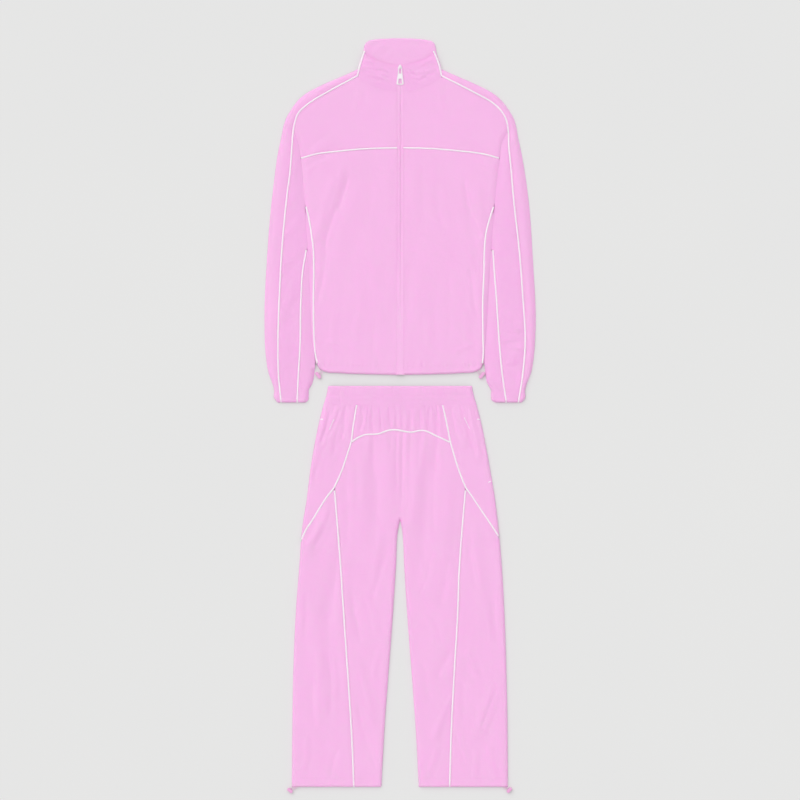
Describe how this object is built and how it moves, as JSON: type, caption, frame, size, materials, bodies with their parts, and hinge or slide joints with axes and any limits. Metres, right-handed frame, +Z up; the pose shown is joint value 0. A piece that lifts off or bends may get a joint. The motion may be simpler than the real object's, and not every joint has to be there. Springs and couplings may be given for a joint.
{
  "type": "tracksuit",
  "caption": "Pink track jacket with stand-up collar and full zip, and straight track trousers with a gathered waist, both with white piping, laid flat.",
  "frame": {"origin": "middle of the two garments' outline, on the surface they lie on", "axes": "X across the garments, Y from the trouser hems up to the collar, Z up from the surface; millimetres in the source, metres in the row"},
  "size_m": [0.6518, 1.8136, 0.0127],
  "materials": {
    "pink_jersey": "smooth knitted polyester with a faint sheen",
    "gathered_jersey": "the same cloth gathered over elastic",
    "white_piping": "soft white piping cord covered in cloth",
    "zip_tape": "woven tape",
    "white_plastic": "white moulded plastic",
    "pink_plastic": "pink moulded plastic",
    "pale_cord": "thin elastic cord",
    "pocket_edge": "pale turned edge of the pocket"
  },
  "bodies": {
    "suit": {"jacket_back": "pink_jersey", "hem_casing_back": "pink_jersey", "collar_back": "pink_jersey", "front_yoke": "pink_jersey", "front_yoke_left": "pink_jersey", "front_yoke_right": "pink_jersey", "front_left": "pink_jersey", "front_right": "pink_jersey", "side_panel_left": "pink_jersey", "side_panel_right": "pink_jersey", "hem_casing_left": "pink_jersey", "hem_casing_right": "pink_jersey", "shoulder_sleeve_strip_left": "pink_jersey", "shoulder_sleeve_strip_right": "pink_jersey", "sleeve_front_left": "pink_jersey", "sleeve_front_right": "pink_jersey", "underarm_panel_left": "pink_jersey", "underarm_panel_right": "pink_jersey", "sleeve_back_left": "pink_jersey", "sleeve_back_right": "pink_jersey", "collar_front_left": "pink_jersey", "collar_front_right": "pink_jersey", "hip_panel_left": "pink_jersey", "hip_panel_right": "pink_jersey", "front_inner_leg_left": "pink_jersey", "front_inner_leg_right": "pink_jersey", "front_outer_leg_left": "pink_jersey", "front_outer_leg_right": "pink_jersey", "back_leg_left": "pink_jersey", "back_leg_right": "pink_jersey", "waistband": "gathered_jersey", "piping_sleeve_left": "white_piping", "piping_sleeve_right": "white_piping", "piping_chest_left": "white_piping", "piping_chest_right": "white_piping", "piping_side_left": "white_piping", "piping_side_right": "white_piping", "piping_underarm_left": "white_piping", "piping_underarm_right": "white_piping", "piping_arch": "white_piping", "piping_hip_left": "white_piping", "piping_hip_right": "white_piping", "piping_leg_left": "white_piping", "piping_leg_right": "white_piping", "zip_tape_left": "zip_tape", "zip_tape_right": "zip_tape", "zip_slider": "white_plastic", "hem_cord_lock_left": "pink_plastic", "hem_cord_lock_right": "pink_plastic", "ankle_cord_lock_left": "pink_plastic", "ankle_cord_lock_right": "pink_plastic", "hem_cord_left": "pale_cord", "hem_cord_right": "pale_cord", "ankle_cord_left": "pale_cord", "ankle_cord_right": "pale_cord", "pocket_edge_left": "pocket_edge", "pocket_edge_right": "pocket_edge"},
    "pull_tab": {"zip_pull": "white_plastic"}
  },
  "joints": [
    {"name": "pull_tab_hinge", "type": "hinge", "parent": "suit", "child": "pull_tab", "pos_m": [0, 0.8295, 0.01], "axis": [-1, 0, 0], "range_deg": [0, 140]}
  ]
}
